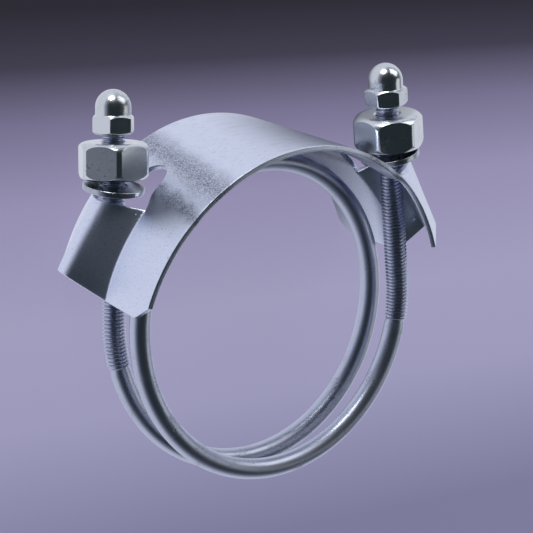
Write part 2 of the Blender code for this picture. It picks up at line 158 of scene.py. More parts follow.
out = Vector((-math.sin(CAMERA_LEFT) * math.cos(CAMERA_ABOVE),
              -math.cos(CAMERA_LEFT) * math.cos(CAMERA_ABOVE), math.sin(CAMERA_ABOVE)))
level_right = Vector((math.cos(CAMERA_LEFT), -math.sin(CAMERA_LEFT), 0))
level_up = out.cross(level_right)
camera_right = level_right * math.cos(CAMERA_ROLL) + level_up * math.sin(CAMERA_ROLL)
camera_up = out.cross(camera_right)
off_centre = (RING_CENTRE_PIXEL - Vector((IMAGE_SIDE / 2, IMAGE_SIDE / 2))) / PIXELS_PER_METRE
eye = out * CAMERA_DISTANCE - camera_right * off_centre.x + camera_up * off_centre.y
standing_view = Matrix((camera_right, camera_up, out)).transposed().to_4x4()
standing_view.translation = eye

bpy.ops.object.camera_add()
camera = bpy.context.object
camera.name = "camera"
camera.matrix_world = from_standing @ standing_view
camera.data.sensor_width = SENSOR
camera.data.lens = PIXELS_PER_METRE * CAMERA_DISTANCE * SENSOR / IMAGE_SIDE
bpy.context.scene.camera = camera
print("the lens is", round(camera.data.lens, 1), "mm and the camera stands",
      [round(value, 3) for value in camera.matrix_world.translation])

# %% [markdown]
# ## A few helpers for working by hand
#
# An operator acts on whatever is selected. So each piece starts with nothing selected,
# and a finished piece has its modifiers turned into mesh and its object at the origin.

# %% Start clean, and finish a piece
def start_clean():
    """Leave edit mode and select nothing."""
    if bpy.context.object and bpy.context.object.mode != "OBJECT":
        bpy.ops.object.mode_set(mode="OBJECT")
    bpy.ops.object.select_all(action="DESELECT")


def only(piece):
    """Select just this piece and make it the active one."""
    start_clean()
    piece.select_set(True)
    bpy.context.view_layer.objects.active = piece


def apply_modifiers(piece):
    """Turn every modifier of a piece into mesh, in order."""
    only(piece)
    for modifier in list(piece.modifiers):
        bpy.ops.object.modifier_apply(modifier=modifier.name)


def own_copy(piece, name):
    """A copy of a piece with its own mesh."""
    twin = piece.copy()
    twin.data = piece.data.copy()
    twin.name = name
    bpy.context.collection.objects.link(twin)
    return twin


def place(piece, matrix):
    """Move a piece's points to their place, so that its object stays at the origin."""
    piece.data.transform(matrix)
    piece.matrix_world = Matrix.Identity(4)
    piece.data.update()


def triangles_in(piece):
    """Count a piece's triangles."""
    piece.data.calc_loop_triangles()
    return len(piece.data.loop_triangles)


# %% [markdown]
# ## The rod's centreline
#
# The bolt is one rod bent round a mandrel, so its centreline is a coil with a straight
# leg tangent to each end. A curve through those points can bend a straight rod into the
# spiral, as the mandrel does.

# %% Draw the centreline as a curve
COIL_STEP = math.radians(2.0)
LEG_STEP = 2.5 * MM
CAP_HEIGHT = 15.0 * MM
CAP_ENGAGEMENT = 10.8 * MM
LEG_FOOT_ANGLE = -(math.pi / 2 - LEG_LEAN)


def coil_point(angle):
    """Point of the coil's centreline. The angle is 0 at the crown and falls to the left."""
    along = COIL_PITCH * (angle + 2 * math.pi) / (2 * math.pi)
    return Vector((COIL_RADIUS * math.sin(angle), along, COIL_RADIUS * math.cos(angle)))


def half_turn(point):
    """Take a point of the standing clamp's left side to its right side."""
    return Vector((-point.x, -point.y, point.z))


leg_foot = coil_point(LEG_FOOT_ANGLE)
leg_direction = Vector((COIL_RADIUS * math.cos(LEG_FOOT_ANGLE), COIL_PITCH / (2 * math.pi),
                        -COIL_RADIUS * math.sin(LEG_FOOT_ANGLE))).normalized()
packed_cap_points = frame["nodes"]["cap_nut_left"].data.vertices
packed_cap = [to_standing @ vert.co - ring_centre for vert in packed_cap_points]
cap_tip = max((point - leg_foot).dot(leg_direction) for point in packed_cap)
leg_length = cap_tip - CAP_HEIGHT + CAP_ENGAGEMENT
leg_count = round(leg_length / LEG_STEP)
left_points = [leg_foot + leg_direction * (leg_length * (1 - step / leg_count))
               for step in range(leg_count)]
coil_turn = -4 * math.pi - 2 * LEG_FOOT_ANGLE
coil_count = round(-coil_turn / COIL_STEP)
coil_points = [coil_point(LEG_FOOT_ANGLE + coil_turn * step / coil_count)
               for step in range(coil_count + 1)]
path_points = left_points + coil_points + [half_turn(point) for point in reversed(left_points)]
rod_length = sum((after - before).length for before, after in zip(path_points, path_points[1:]))

start_clean()
bpy.ops.curve.primitive_nurbs_path_add()
centreline = bpy.context.object
centreline.name = "centreline"
centreline.data.splines.clear()
spline = centreline.data.splines.new("POLY")
spline.points.add(len(path_points) - 1)
for knot, point in zip(spline.points, path_points):
    knot.co = (*point, 1.0)
print("the rod is", round(rod_length / MM, 1), "mm long from end to end")

# %% [markdown]
# ## The rod and its rolled threads
#
# A thread is rolled into the rod: the dies press a groove in and squeeze the metal up
# beside it, so the thread stands a little proud of the plain rod and its root lies a
# little below. We extrude the rod straight, wind a ridge round each end with the Screw
# modifier, and bend the whole thing round the centreline with a Curve modifier.

# %% Extrude the straight rod
THREAD_DEPTH = 0.76 * MM
ROD_SIDES = 40
ROD_STEP = 1.9 * MM
END_CHAMFER = 1.0 * MM
RUN_OUT = 1.5 * MM
root_radius = THREAD_RADIUS - THREAD_DEPTH


def extrude_end(piece, length, radius_before, radius_after):
    """Pull the selected end along X and bring it to a new radius."""
    bpy.ops.mesh.extrude_region_move(TRANSFORM_OT_translate={"value": (length, 0, 0)})
    share = radius_after / radius_before
    if share != 1:
        bpy.ops.transform.resize(value=(1, share, share))


start_clean()
bpy.ops.mesh.primitive_circle_add(vertices=ROD_SIDES, radius=root_radius - END_CHAMFER,
                                  fill_type="NGON", rotation=(0, math.pi / 2, 0))
rod = bpy.context.object
rod.name = "bent_rod"
bpy.ops.object.transform_apply(location=False, rotation=True, scale=False)
bpy.ops.object.mode_set(mode="EDIT")
bpy.ops.mesh.select_all(action="SELECT")
stretches = [(END_CHAMFER, root_radius - END_CHAMFER, root_radius)]
stretches.append((THREAD_LENGTH - END_CHAMFER - RUN_OUT, root_radius, root_radius))
stretches.append((RUN_OUT, root_radius, ROD_RADIUS))
stretches.append((rod_length - 2 * THREAD_LENGTH, ROD_RADIUS, ROD_RADIUS))
stretches.append((RUN_OUT, ROD_RADIUS, root_radius))
stretches.append((THREAD_LENGTH - END_CHAMFER - RUN_OUT, root_radius, root_radius))
stretches.append((END_CHAMFER, root_radius, root_radius - END_CHAMFER))
for length, before, after in stretches:
    count = max(1, round(length / ROD_STEP)) if before == after else 1
    for step in range(count):
        extrude_end(rod, length / count, before, after)
bpy.ops.mesh.select_all(action="SELECT")
bpy.ops.mesh.normals_make_consistent(inside=False)
start_clean()
print("the straight rod has", triangles_in(rod), "triangles")

# %% [markdown]
# A thread ridge is a triangle with its tip cut off, wound round the rod once for each
# pitch. Its foot sinks a little into the rod, so no slit can show, and its first and last
# turns fade into the rod, as they do where the dies let go.

# %% Shape the ridge and let its ends fade
RIDGE_CREST = 0.20 * MM
RIDGE_FOOT = 0.98 * MM
RIDGE_SINK = 0.10 * MM
RIDGE_STEPS = 28
RIDGE_MERGE = 0.001 * MM
ridge_foot = root_radius - RIDGE_SINK


def ridge_corners(first):
    """The corners of the ridge's section where it starts, as (along, radius) pairs."""
    return [(first - RIDGE_FOOT / 2, ridge_foot), (first - RIDGE_CREST / 2, THREAD_RADIUS),
            (first + RIDGE_CREST / 2, THREAD_RADIUS), (first + RIDGE_FOOT / 2, ridge_foot)]


def fade_ends(ridge, first, length):
    """Let the ridge's first and last turns sink into the rod."""
    for vert in ridge.data.vertices:
        from_end = min(vert.co.x - first, first + length - vert.co.x)
        share = min(1.0, max(0.0, from_end / THREAD_PITCH))
        radius = math.hypot(vert.co.y, vert.co.z)
        shrunk = (ridge_foot + (radius - ridge_foot) * share) / radius
        vert.co.y *= shrunk
        vert.co.z *= shrunk


print("the ridge is", round(RIDGE_FOOT / MM, 2), "mm wide at its foot")

# %% Wind a ridge round each end with the Screw modifier
def wind_ridge(name, first, length):
    """A helical ridge along X from a place, closed at both ends."""
    start_clean()
    bpy.ops.mesh.primitive_plane_add(size=1)
    ridge = bpy.context.object
    ridge.name = name
    order = sorted(ridge.data.vertices, key=lambda vert: math.atan2(vert.co.y, vert.co.x))
    for vert, (along, radius) in zip(order, ridge_corners(first)):
        vert.co = (along, 0, radius)
    screw = ridge.modifiers.new("thread", "SCREW")
    screw.axis = "X"
    screw.iterations = round(length / THREAD_PITCH)
    screw.screw_offset = THREAD_PITCH
    screw.steps = RIDGE_STEPS
    screw.render_steps = RIDGE_STEPS
    screw.use_merge_vertices = False
    screw.use_smooth_shade = True
    apply_modifiers(ridge)
    bpy.ops.object.mode_set(mode="EDIT")
    bpy.ops.mesh.select_all(action="SELECT")
    bpy.ops.mesh.remove_doubles(threshold=RIDGE_MERGE)
    bpy.ops.mesh.select_all(action="SELECT")
    bpy.ops.mesh.normals_make_consistent(inside=False)
    start_clean()
    fade_ends(ridge, first, length)
    return ridge


ridge_length = THREAD_LENGTH - END_CHAMFER - RUN_OUT
left_ridge = wind_ridge("left_ridge", END_CHAMFER, ridge_length)
right_ridge = wind_ridge("right_ridge", rod_length - THREAD_LENGTH + RUN_OUT, ridge_length)
print("each thread ridge has", triangles_in(left_ridge), "triangles")

# %% Join rod and ridges, and bend them round the centreline
RIDGE_SLOT = 1
PAINTED_SHADE_SLOT = 2
ROD_SMOOTH = math.radians(35)
for ridge in (left_ridge, right_ridge):
    for polygon in ridge.data.polygons:
        polygon.material_index = RIDGE_SLOT
# The rod's faces in the threaded lengths, between the ridges, take the painted shade of the thread's
# root.
for polygon in rod.data.polygons:
    if min(polygon.center.x, rod_length - polygon.center.x) < THREAD_LENGTH - RUN_OUT:
        polygon.material_index = PAINTED_SHADE_SLOT
only(rod)
left_ridge.select_set(True)
right_ridge.select_set(True)
bpy.ops.object.join()
bend = rod.modifiers.new("bend", "CURVE")
bend.object = centreline
bend.deform_axis = "POS_X"
apply_modifiers(rod)
bpy.data.objects.remove(centreline)
place(rod, from_standing)
bpy.ops.object.shade_smooth_by_angle(angle=ROD_SMOOTH)
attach(rod, "bolt")
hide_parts("spiral_bolt")
print("the bent rod has", triangles_in(rod), "triangles and reaches",
      [round(value / MM, 1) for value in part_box("spiral_bolt")[1]])

# %% [markdown]
# ## The bridge plate
#
# The plate is one sheet of steel, rolled to the ring's curve, slotted, and pressed out
# into a tent round each bolt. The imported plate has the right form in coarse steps. We
# copy it, merge its loose triangles, round its sheared edges and smooth it with a
# Subdivision Surface, as the press leaves no facets.

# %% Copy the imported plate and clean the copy
PLATE_MERGE = 0.002 * MM
NEARLY_FLAT = math.radians(40)
NEARLY_SQUARE = math.radians(60)
plate = own_copy(frame["nodes"]["saddle"], "bridge_plate")
plate.parent = None
plate.matrix_world = Matrix.Identity(4)
for key in list(plate.keys()):
    del plate[key]
only(plate)
bpy.ops.object.mode_set(mode="EDIT")
bpy.ops.mesh.select_all(action="SELECT")
bpy.ops.mesh.remove_doubles(threshold=PLATE_MERGE)
bpy.ops.mesh.select_all(action="SELECT")
bpy.ops.mesh.tris_convert_to_quads(face_threshold=NEARLY_FLAT, shape_threshold=NEARLY_SQUARE)
start_clean()
three_sided = sum(len(polygon.vertices) == 3 for polygon in plate.data.polygons)
print("the plate's copy has", len(plate.data.polygons), "faces, of which", three_sided, "are triangles")

# %% Round the plate's edges and smooth it
SHEARED_EDGE = math.radians(40)
PLATE_EDGE_ROUND = 0.42 * MM
PLATE_EDGE_SEGMENTS = 2
PRESS_LEVELS = 2
round_edges = plate.modifiers.new("edges", "BEVEL")
round_edges.width = PLATE_EDGE_ROUND
round_edges.segments = PLATE_EDGE_SEGMENTS
round_edges.limit_method = "ANGLE"
round_edges.angle_limit = SHEARED_EDGE
smooth = plate.modifiers.new("press", "SUBSURF")
smooth.levels = PRESS_LEVELS
smooth.render_levels = PRESS_LEVELS
apply_modifiers(plate)
plate.data.shade_smooth()
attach(plate, "saddle")
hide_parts("saddle")
print("the smooth plate has", triangles_in(plate), "triangles")

# %% [markdown]
# ## Turned pieces
#
# Washers and nuts are round at heart. By hand, we draw half of their section from one
# point, extruding it from corner to corner, and spin the section round the Z axis.

# %% Draw a section and spin it
SPIN_STEPS = 96
SPIN_MERGE = 0.01 * MM


def spun(name, section):
    """Spin a closed section of (radius, height) points round Z."""
    start_clean()
    bpy.ops.mesh.primitive_plane_add(size=MM)
    piece = bpy.context.object
    piece.name = name
    bpy.ops.object.mode_set(mode="EDIT")
    bpy.ops.mesh.select_all(action="SELECT")
    bpy.ops.mesh.merge(type="CENTER")
    bpy.ops.transform.translate(value=(section[0][0], 0, section[0][1]))
    for before, after in zip(section, section[1:] + section[:1]):
        step = (after[0] - before[0], 0, after[1] - before[1])
        bpy.ops.mesh.extrude_vertices_move(TRANSFORM_OT_translate={"value": step})
    bpy.ops.mesh.select_all(action="SELECT")
    bpy.ops.mesh.remove_doubles(threshold=SPIN_MERGE)
    bpy.ops.mesh.select_all(action="SELECT")
    bpy.ops.mesh.spin(steps=SPIN_STEPS, angle=2 * math.pi, center=(0, 0, 0), axis=(0, 0, 1))
    bpy.ops.mesh.select_all(action="SELECT")
    bpy.ops.mesh.remove_doubles(threshold=SPIN_MERGE)
    bpy.ops.mesh.select_all(action="SELECT")
    bpy.ops.mesh.normals_make_consistent(inside=False)
    start_clean()
    return piece


print("a spun piece has", SPIN_STEPS, "steps round its axis")

# %% Round the edges of a turned piece
EDGE_SEGMENTS = 3
EDGE_ANGLE = math.radians(25)


def round_edges_of(piece, width):
    """Round the piece's edges, keep its flats flat to the eye, and smooth the rest."""
    bevel = piece.modifiers.new("edges", "BEVEL")
    bevel.width = width
    bevel.segments = EDGE_SEGMENTS
    bevel.limit_method = "ANGLE"
    bevel.angle_limit = EDGE_ANGLE
    weigh = piece.modifiers.new("normals", "WEIGHTED_NORMAL")
    weigh.keep_sharp = True
    piece.data.shade_smooth()
    apply_modifiers(piece)


print("edges sharper than", round(math.degrees(EDGE_ANGLE)), "degrees are rounded")

# %% [markdown]
# ## Places along a leg
#
# Everything on a bolt is threaded on the same leaning axis. One function gives the frame
# of a place on it, and the joints say how far up each clamp nut sits.

# %% Frames along the legs
SEAT_GAP = 0.3 * MM
WASHER_DIAMETER = 20.8 * MM
WASHER_BORE = 9.6 * MM
WASHER_THICKNESS = 2.0 * MM
WASHER_TILT = {"left": math.radians(9.0), "right": math.radians(6.0)}
WASHER_LOW_SIDE = {"left": math.radians(-85.0), "right": math.radians(180.0)}


def leg_frame(side, distance, turn=0.0):
    """Place on a leg's axis in the standing clamp, with Z along the leg."""
    direction = leg_direction if side == "left" else half_turn(leg_direction)
    point = leg_foot + leg_direction * distance
    point = point if side == "left" else half_turn(point)
    facing = Vector((0, 0, 1)).rotation_difference(direction).to_matrix().to_4x4()
    return Matrix.Translation(point) @ facing @ Matrix.Rotation(turn, 4, "Z")


def seat_of_nut(side):
    """How far up its leg a clamp nut sits, from its packed joint."""
    point = to_standing @ Vector(joints["clamp_nut_" + side + "_turn"]["pos_m"]) - ring_centre
    point = point if side == "left" else half_turn(point)
    return (point - leg_foot).dot(leg_direction)


for side in ("left", "right"):
    print("the", side, "clamp nut sits", round(seat_of_nut(side) / MM, 2), "mm up its leg")

# %% [markdown]
# ## Washers
#
# A plain washer is stamped from strip and tumbled before it is plated, which rounds its
# edges a little. On this clamp the washers lie slightly askew on the tents.

# %% Spin the washers and lay them on the tents
WASHER_EDGE = 0.35 * MM


def washer(side):
    """One washer, laid askew under its clamp nut."""
    inner = WASHER_BORE / 2
    outer = WASHER_DIAMETER / 2
    half = WASHER_THICKNESS / 2
    piece = spun("flat_washer_" + side, [(inner, -half), (outer, -half), (outer, half), (inner, half)])
    round_edges_of(piece, WASHER_EDGE)
    tilt = WASHER_TILT[side]
    low = WASHER_LOW_SIDE[side]
    rise = half * math.cos(tilt) + outer * math.sin(tilt)
    tip = Matrix.Rotation(tilt, 4, Vector((-math.sin(low), math.cos(low), 0)))
    place(piece, from_standing @ leg_frame(side, seat_of_nut(side) - SEAT_GAP - rise) @ tip)
    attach(piece, "saddle")
    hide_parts("washer_" + side)
    return piece


washers = [washer(side) for side in ("left", "right")]
print("each washer has", triangles_in(washers[0]), "triangles")

# %% [markdown]
# ## Clamp nuts
#
# A cold-formed nut is a hexagon whose long edges are rounded and whose ends are swept
# round, which leaves each flat as a panel with rounded corners. We spin the rounded blank
# and cut it with a hexagonal bar, as the real nut's shape is the part that both have in
# common.

# %% Cut a blank with a hexagonal bar
BAR_EDGE_SEGMENTS = 6
BAR_LENGTHS = 3


def edge_rise(piece, edge):
    """How far an edge rises from its one end to its other."""
    first, second = edge.vertices
    return abs(piece.data.vertices[first].co.z - piece.data.vertices[second].co.z)


def hexagon_bar(flats, edge_radius, height):
    """A hexagonal bar with rounded long edges, its flats facing 30 degrees off X."""
    start_clean()
    corner = flats / 2 / math.cos(math.pi / 6)
    bpy.ops.mesh.primitive_cylinder_add(vertices=6, radius=corner, depth=BAR_LENGTHS * height,
                                        rotation=(0, 0, math.pi / 6))
    bar = bpy.context.object
    bpy.ops.object.transform_apply(location=False, rotation=True, scale=False)
    bpy.context.tool_settings.mesh_select_mode = (False, True, False)
    for polygon in bar.data.polygons:
        polygon.select = False
    for edge in bar.data.edges:
        edge.select = edge_rise(bar, edge) > height
    bpy.ops.object.mode_set(mode="EDIT")
    bpy.ops.mesh.bevel(offset=edge_radius * math.tan(math.pi / 6), offset_type="OFFSET",
                       segments=BAR_EDGE_SEGMENTS, affect="EDGES")
    bpy.context.tool_settings.mesh_select_mode = (True, False, False)
    start_clean()
    return bar


def cut_to_flats(piece, bar):
    """Keep what a blank and a hexagonal bar have in common."""
    cut = piece.modifiers.new("flats", "BOOLEAN")
    cut.operation = "INTERSECT"
    cut.solver = "EXACT"
    cut.object = bar
    apply_modifiers(piece)
    bpy.data.objects.remove(bar)


print("a hexagonal bar's long edges are rounded in", BAR_EDGE_SEGMENTS, "steps")

# %% Make the clamp nuts
NUT_FLATS = 22.0 * MM
NUT_HEIGHT = 12.6 * MM
NUT_EDGE_RADIUS = 2.0 * MM
NUT_CHAMFER = 2.2 * MM
NUT_TURN = {"left": math.radians(4.5), "right": math.radians(-28.6)}
NUT_BORE_RADIUS = THREAD_RADIUS + 0.25 * MM
NUT_BORE_EDGE = 0.6 * MM
NUT_SWEEP = 3.3 * MM
NUT_EDGE_ROUND = 0.3 * MM
SWEEP_STEPS = 10
BLANK_SPARE = 0.02 * MM


def clamp_nut():
    """One clamp nut at the origin, standing on its lower face."""
    corner = (NUT_FLATS / 2 - NUT_EDGE_RADIUS) / math.cos(math.pi / 6) + NUT_EDGE_RADIUS + BLANK_SPARE
    flat_end = NUT_FLATS / 2 - NUT_CHAMFER
    sweep = []
    for step in range(SWEEP_STEPS + 1):
        angle = step / SWEEP_STEPS * math.pi / 2
        radius = flat_end + (corner - flat_end) * math.sin(angle)
        sweep.append((radius, NUT_SWEEP * (1 - math.cos(angle))))
    section = [(NUT_BORE_RADIUS, NUT_BORE_EDGE), (NUT_BORE_RADIUS + NUT_BORE_EDGE, 0)] + sweep
    section += [(radius, NUT_HEIGHT - height) for radius, height in reversed(section)]
    piece = spun("hexagon_clamp_nut", section)
    cut_to_flats(piece, hexagon_bar(NUT_FLATS, NUT_EDGE_RADIUS, NUT_HEIGHT))
    round_edges_of(piece, NUT_EDGE_ROUND)
    return piece


model_nut = clamp_nut()
clamp_nuts = []
for side in ("left", "right"):
    nut = own_copy(model_nut, "hexagon_nut_" + side)
    place(nut, from_standing @ leg_frame(side, seat_of_nut(side), NUT_TURN[side]))
    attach(nut, "clamp_nut_" + side)
    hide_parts("clamp_nut_" + side)
    clamp_nuts.append(nut)
bpy.data.objects.remove(model_nut)
print("each clamp nut has", triangles_in(clamp_nuts[0]), "triangles")

# %% [markdown]
# ## Cap nuts
#
# A cap nut is a small hexagon nut with a domed cap turned on its end, so that the
# thread's end hurts nobody. Its section is spun in one go, dome and all, and the bar
# only bites into the hexagon, because the dome is narrower than the flats.

# %% Cut the cap nuts
CAP_FLATS = 13.0 * MM
CAP_HEX_HEIGHT = 6.5 * MM
CAP_DOME_DIAMETER = 12.0 * MM
CAP_CHAMFER = 0.8 * MM
CAP_EDGE_RADIUS = 0.5 * MM
CAP_TURN = {"left": math.radians(-11.5), "right": math.radians(24.5)}
CAP_BORE_RADIUS = THREAD_RADIUS + 0.1 * MM
CAP_EDGE_ROUND = 0.22 * MM
CHAMFER_SLOPE = math.radians(30.0)
DOME_STEPS = 20


def cap_nut():
    """One cap nut at the origin, its open end down."""
    corner = CAP_FLATS / 2 / math.cos(math.pi / 6) + CAP_EDGE_RADIUS
    flat_end = CAP_FLATS / 2 - CAP_CHAMFER
    cone = (corner - flat_end) * math.tan(CHAMFER_SLOPE)
    dome = CAP_DOME_DIAMETER / 2
    wall_top = CAP_HEIGHT - dome
    depth = CAP_ENGAGEMENT + SEAT_GAP
    section = [(0, depth), (CAP_BORE_RADIUS, depth), (CAP_BORE_RADIUS, 0), (flat_end, 0),
               (corner, cone), (corner, CAP_HEX_HEIGHT - cone), (dome, CAP_HEX_HEIGHT),
               (dome, wall_top)]
    for step in range(1, DOME_STEPS):
        angle = step / DOME_STEPS * math.pi / 2
        section.append((dome * math.cos(angle), wall_top + dome * math.sin(angle)))
    section.append((0, CAP_HEIGHT))
    piece = spun("domed_nut", section)
    cut_to_flats(piece, hexagon_bar(CAP_FLATS, CAP_EDGE_RADIUS, CAP_HEIGHT))
    round_edges_of(piece, CAP_EDGE_ROUND)
    return piece


model_cap = cap_nut()
cap_nuts = []
for side in ("left", "right"):
    cap = own_copy(model_cap, "domed_nut_" + side)
    place(cap, from_standing @ leg_frame(side, leg_length - CAP_ENGAGEMENT, CAP_TURN[side]))
    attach(cap, "cap_nut_" + side)
    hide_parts("cap_nut_" + side)
    cap_nuts.append(cap)
bpy.data.objects.remove(model_cap)
print("each cap nut has", triangles_in(cap_nuts[0]), "triangles")

# %% [markdown]
# ## Materials from nodes
#
# Every material is built from a few nodes. Small functions keep that short: one turns a
# hex colour into light, one adds a node with its settings and links, and the rest give the
# patterns and the sums that all the materials share.

# %% Turn hex colours into light, and add nodes
def linear(hex_colour):
    """An sRGB hex colour as linear red, green, blue and alpha."""
    parts = [int(hex_colour[start:start + 2], 16) / 255 for start in (1, 3, 5)]
    light = [part / 12.92 if part <= 0.04045 else ((part + 0.055) / 1.055) ** 2.4 for part in parts]
    return light + [1.0]


def add_node(tree, kind, inputs=None, **settings):
    """Add one node with its settings. An input is a value or another node's output."""
    node = tree.nodes.new(kind)
    for name, value in settings.items():
        setattr(node, name, value)
    for name, value in (inputs or {}).items():
        if isinstance(value, bpy.types.NodeSocket):
            tree.links.new(value, node.inputs[name])
        else:
            node.inputs[name].default_value = value
    return node


print("floor lavender is", [round(part, 3) for part in linear("#a39fc0")])

# %% Start a material, and make its patterns
def new_material(name):
    """An empty material with its tree and its output node."""
    material = bpy.data.materials.new(name)
    material.use_nodes = True
    tree = material.node_tree
    tree.nodes.clear()
    return material, tree, add_node(tree, "ShaderNodeOutputMaterial")


def object_point(tree):
    """The point in the object's own coordinates, in metres."""
    return add_node(tree, "ShaderNodeTexCoord").outputs["Object"]


def noise(tree, point, size, detail=2.0):
    """Smooth noise from 0 to 1 whose blobs have a size in metres."""
    node = add_node(tree, "ShaderNodeTexNoise", {"Vector": point, "Scale": 1 / size, "Detail": detail})
    return node.outputs["Fac"]


print("a pattern's blobs are sized in metres, so", 5 * MM, "means 5 mm")

# %% Do sums and mix colours with nodes
def ramp(tree, value, low, high, to_low=0.0, to_high=1.0):
    """Carry a value smoothly from one range to another."""
    inputs = {"Value": value, "From Min": low, "From Max": high, "To Min": to_low, "To Max": to_high}
    node = add_node(tree, "ShaderNodeMapRange", inputs, interpolation_type="SMOOTHSTEP")
    return node.outputs["Result"]


def maths(tree, operation, first, second=0.0):
    """One step of arithmetic."""
    node = add_node(tree, "ShaderNodeMath", operation=operation)
    for socket, value in zip(node.inputs, (first, second)):
        if isinstance(value, bpy.types.NodeSocket):
            tree.links.new(value, socket)
        else:
            socket.default_value = value
    return node.outputs["Value"]


def mixed(tree, share, first, second):
    """Mix two colours by a share."""
    node = add_node(tree, "ShaderNodeMix", {"Factor": share}, data_type="RGBA")
    for name, value in (("A", first), ("B", second)):
        socket = next(item for item in node.inputs if item.name == name and item.type == "RGBA")
        if isinstance(value, bpy.types.NodeSocket):
            tree.links.new(value, socket)
        else:
            socket.default_value = value
    return next(item for item in node.outputs if item.type == "RGBA")


print("ramps, sums and mixes are ready as nodes")

# %% [markdown]
# ## The floor
#
# The clamp lies on a smooth lavender table. Its colour is painted darker away from the light,
# towards the top of the picture, and a little darker towards the bottom. Most of what the camera
# sees of it is its plain colour, and the rest is lit and keeps the clamp's shadow. What the
# plating mirrors of the table is painted too: a pale painted sheen, with a painted shadow at
# the plate's right.

# %% Find where the picture's edges meet the table
def table_point(pixel_x, pixel_y):
    """Point of the table seen at a pixel."""
    side = (pixel_x - IMAGE_SIDE / 2) / IMAGE_SIDE * SENSOR / camera.data.lens
    rise = (IMAGE_SIDE / 2 - pixel_y) / IMAGE_SIDE * SENSOR / camera.data.lens
    ray = camera.matrix_world.to_3x3() @ Vector((side, rise, -1))
    start = camera.matrix_world.translation
    return start + ray * (start.z / -ray.z)


table_near = table_point(IMAGE_SIDE / 2, IMAGE_SIDE)
table_far = table_point(IMAGE_SIDE / 2, 0)
print("the picture spans", round((table_far - table_near).length / MM), "mm of the table")

# %% Mix the table's colour
NEW_RAMP_STOPS = 2
# Painted falloff of light: the table's tones darken towards the picture's far edge.
PAINTED_FALLOFF_TONES = [(0.0, "#8583a5"), (0.12, "#9492b5"), (0.27, "#a6a3c6"), (0.45, "#aaa6c8"),
               (0.66, "#9e98bb"), (0.80, "#7d7897"), (0.90, "#464354"), (1.0, "#312f39")]


def painted_falloff_colour(tree):
    """The lavender, painted darker away from the light, that fades from the picture's near edge to its
    far one.
    """
    across_table = table_far - table_near
    step = across_table / across_table.length_squared
    along = add_node(tree, "ShaderNodeVectorMath", {0: object_point(tree), 1: step},
                     operation="DOT_PRODUCT")
    share = maths(tree, "SUBTRACT", along.outputs["Value"], table_near.dot(step))
    tones = add_node(tree, "ShaderNodeValToRGB", {"Fac": share})
    for count, (position, tone) in enumerate(PAINTED_FALLOFF_TONES):
        if count < NEW_RAMP_STOPS:
            element = tones.color_ramp.elements[count]
        else:
            element = tones.color_ramp.elements.new(position)
        element.position = position
        element.color = linear(tone)
    return tones.outputs["Color"]


print("the table's colour runs through", len(PAINTED_FALLOFF_TONES), "tones")

# %% Lay the table
FLOOR_SIZE = 6.0
PLAIN_SHARE = 0.85
# The painted reflection that the plating sees: a pale painted sheen, and a painted shadow at the
# plate's right.
PAINTED_SHEEN_BRIGHT = "#f4f6ff"
PAINTED_SHADOW_TONE = "#4c4d5e"
PAINTED_SHADOW_PLACE = (62 * MM, 40 * MM, 0)
PAINTED_SHADOW_FROM = 10 * MM
PAINTED_SHADOW_TO = 70 * MM


def table_paint():
    """Lavender: plain to the camera, and a painted sheen with a painted shadow to the plating."""
    material, tree, output = new_material("lavender tabletop with painted sheen")
    # The table's colour, with its painted falloff.
    colour = painted_falloff_colour(tree)
    lit = add_node(tree, "ShaderNodeBsdfDiffuse", {"Color": colour}).outputs["BSDF"]
    path = add_node(tree, "ShaderNodeLightPath")
    # The painted shadow in the sheen: full at its place, fading out between its two reaches.
    away = add_node(tree, "ShaderNodeVectorMath", {0: object_point(tree), 1: PAINTED_SHADOW_PLACE},
                    operation="DISTANCE")
    painted_shadow = ramp(tree, away.outputs["Value"], PAINTED_SHADOW_FROM, PAINTED_SHADOW_TO, 1.0, 0.0)
    painted_sheen = mixed(tree, painted_shadow, linear(PAINTED_SHEEN_BRIGHT), linear(PAINTED_SHADOW_TONE))
    shown = mixed(tree, path.outputs["Is Camera Ray"], painted_sheen, colour)
    plain = add_node(tree, "ShaderNodeEmission", {"Color": shown, "Strength": 1.0}).outputs["Emission"]
    seen = maths(tree, "MAXIMUM", path.outputs["Is Camera Ray"], path.outputs["Is Glossy Ray"])
    plain_share = maths(tree, "MULTIPLY", seen, PLAIN_SHARE)
    mix = add_node(tree, "ShaderNodeMixShader", {"Fac": plain_share, 1: lit, 2: plain})
    tree.links.new(mix.outputs["Shader"], output.inputs["Surface"])
    return material


start_clean()
bpy.ops.mesh.primitive_plane_add(size=FLOOR_SIZE)
floor = bpy.context.object
floor.name = "floor"
floor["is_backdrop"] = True
floor.data.materials.append(table_paint())
print("the floor is", FLOOR_SIZE, "m wide")

# %% [markdown]
# ## The light
#
# Plated metal shows whatever surrounds it, so the light is mostly a matter of what the
# clamp mirrors. The camera's side of the studio is dark. Soft boxes stand beyond the bolts
# and at the right, so the plate's crown, its ends and the nuts' faces catch them.

# %% Stand the soft boxes round the clamp
BEYOND_BOX = dict(bearing=107, elevation=14, distance=1.0, width=0.42, height=0.34, brightness=10)
UPPER_RIGHT_BOX = dict(bearing=50, elevation=28, distance=1.3, width=1.0, height=0.70, brightness=1.6)
RIGHT_BOX = dict(bearing=-12, elevation=34, distance=1.2, width=0.7, height=0.6, brightness=0.8)


